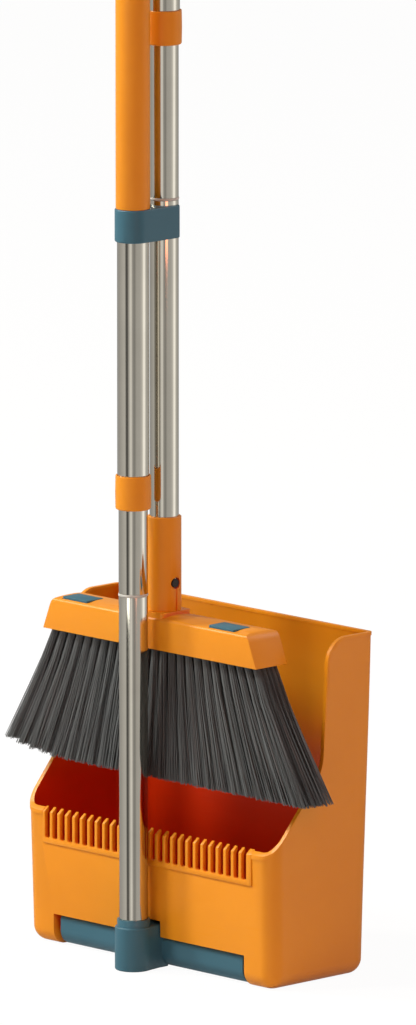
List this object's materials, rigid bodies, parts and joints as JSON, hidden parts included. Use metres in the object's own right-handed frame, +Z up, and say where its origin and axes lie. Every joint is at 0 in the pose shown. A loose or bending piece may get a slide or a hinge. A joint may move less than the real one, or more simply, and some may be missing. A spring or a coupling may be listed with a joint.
{
  "type": "dust pan and brush set",
  "caption": "Upright dust pan with a comb-edged cover and a long folding telescopic handle, with a long-handled soft broom clipped behind the handle.",
  "frame": {"origin": "on the floor, half way across the set and half way through its depth", "axes": "+X to the right across the set, +Z up along the poles, -Y the side that the cover, the comb and the handle's foot face"},
  "size_m": [0.352, 0.137, 1.155],
  "materials": {
    "orange_plastic": "satin",
    "teal_plastic": "satin",
    "steel_tube": "polished",
    "steel_fastener": "satin",
    "dark_fastener": "satin",
    "black_plastic": "matte",
    "natural_plastic": "satin",
    "bristle": "matte"
  },
  "bodies": {
    "pan": {"pan_shell": "orange_plastic", "comb_strip": "orange_plastic", "hinge_pin_left": "steel_fastener", "hinge_pin_right": "steel_fastener"},
    "handle_lower": {"handle_foot": "teal_plastic", "foot_screw": "steel_fastener", "handle_tube_lower": "steel_tube", "handle_tube_plug": "black_plastic", "handle_screw_insert": "black_plastic", "handle_screw_plug": "natural_plastic", "handle_tube_middle": "steel_tube", "handle_guide_bush": "black_plastic"},
    "handle_upper": {"handle_collet": "black_plastic", "handle_tube_upper": "steel_tube", "handle_grip": "orange_plastic", "handle_cap": "orange_plastic", "pole_clip": "teal_plastic"},
    "handle_lock": {"handle_collar": "orange_plastic"},
    "broom_lower": {"broom_head": "orange_plastic", "pad_left": "teal_plastic", "pad_right": "teal_plastic", "bristle_plate": "black_plastic", "bristles": "bristle", "broom_neck": "orange_plastic", "neck_screw": "dark_fastener", "broom_tube_lower": "steel_tube", "broom_screw_insert": "black_plastic", "broom_screw_plug": "natural_plastic", "broom_tube_middle": "steel_tube", "broom_guide_bush": "black_plastic"},
    "broom_upper": {"broom_collet": "black_plastic", "broom_tube_upper": "steel_tube", "broom_grip": "orange_plastic", "broom_cap": "orange_plastic"},
    "broom_lock": {"broom_collar": "orange_plastic"}
  },
  "joints": [
    {"name": "pan_fold", "type": "hinge", "parent": "pan", "child": "handle_lower", "pos_m": [0, -0.0232, 0.0123], "axis": [1, 0, 0], "range_deg": [0, 90]},
    {"name": "handle_telescope", "type": "slide", "parent": "handle_lower", "child": "handle_upper", "axis": [0, 0, 1], "range_m": [0, 0.15]},
    {"name": "handle_twist_lock", "type": "hinge", "parent": "handle_upper", "child": "handle_lock", "pos_m": [0, -0.0537, 0.38], "axis": [0, 0, 1], "range_deg": [0, 90]},
    {"name": "broom_lift", "type": "slide", "parent": "handle_upper", "child": "broom_lower", "axis": [0, 0, 1], "range_m": [0, 0.17]},
    {"name": "broom_telescope", "type": "slide", "parent": "broom_lower", "child": "broom_upper", "axis": [0, 0, 1], "range_m": [-0.11, 0.15]},
    {"name": "broom_twist_lock", "type": "hinge", "parent": "broom_upper", "child": "broom_lock", "pos_m": [0, -0.0201, 0.745], "axis": [0, 0, 1], "range_deg": [0, 90]}
  ]
}
